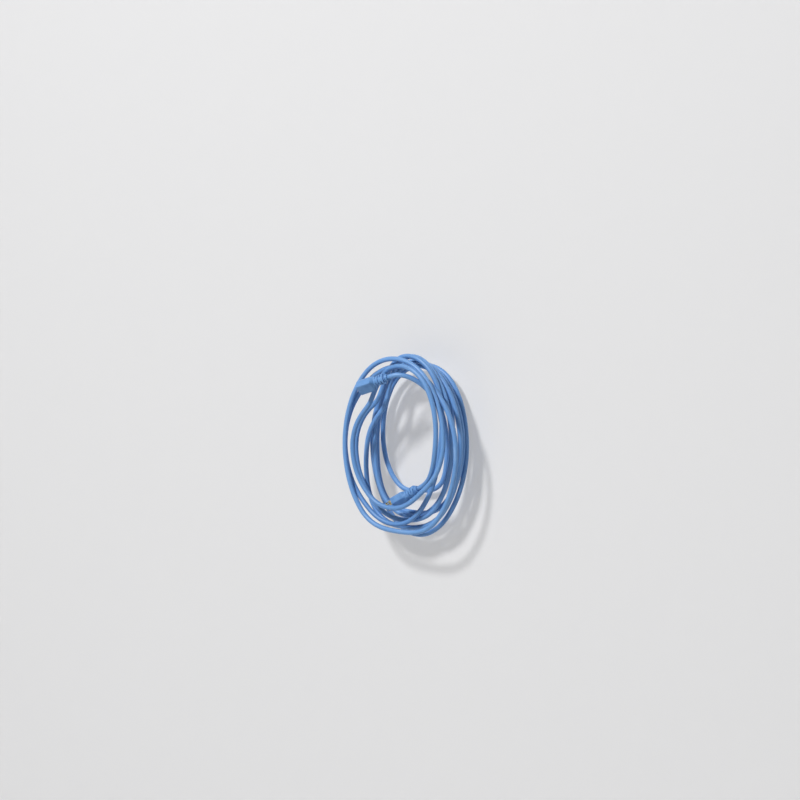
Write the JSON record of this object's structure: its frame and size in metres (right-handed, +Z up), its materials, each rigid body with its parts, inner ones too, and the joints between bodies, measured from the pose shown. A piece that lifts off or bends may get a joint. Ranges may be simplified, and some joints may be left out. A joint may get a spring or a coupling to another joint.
{
  "type": "extension cord",
  "caption": "Outdoor three-wire extension cord hung in a loose coil, with a moulded grounded plug and a moulded grounded connector",
  "frame": {"origin": "under the top of the coil, where a hook carries it, half way through the bundle", "axes": "+X across the coil, +Y back to the wall that it hangs on, +Z up"},
  "size_m": [0.2952, 0.1467, 0.3789],
  "materials": {
    "jacket_blue": "satin vinyl jacket",
    "mould_blue": "satin moulded vinyl",
    "inner_plastic": "matt",
    "brass": "stamped",
    "copper": "bare strands",
    "black_insulation": "satin",
    "white_insulation": "satin",
    "green_insulation": "satin"
  },
  "bodies": {
    "root": {"cord_jacket": "jacket_blue", "plug_overmould": "mould_blue", "plug_bridge": "inner_plastic", "plug_jacket_end": "jacket_blue", "plug_line_blade": "brass", "plug_neutral_blade": "brass", "plug_earth_pin": "brass", "plug_black_wire": "black_insulation", "plug_white_wire": "white_insulation", "plug_green_wire": "green_insulation", "plug_black_strands": "copper", "plug_white_strands": "copper", "plug_green_strands": "copper", "connector_overmould": "mould_blue", "connector_carrier": "inner_plastic", "connector_cover": "inner_plastic", "connector_jacket_end": "jacket_blue", "connector_line_contact": "brass", "connector_neutral_contact": "brass", "connector_earth_contact": "brass", "connector_black_wire": "black_insulation", "connector_white_wire": "white_insulation", "connector_green_wire": "green_insulation", "connector_black_strands": "copper", "connector_white_strands": "copper", "connector_green_strands": "copper"}
  },
  "joints": []
}
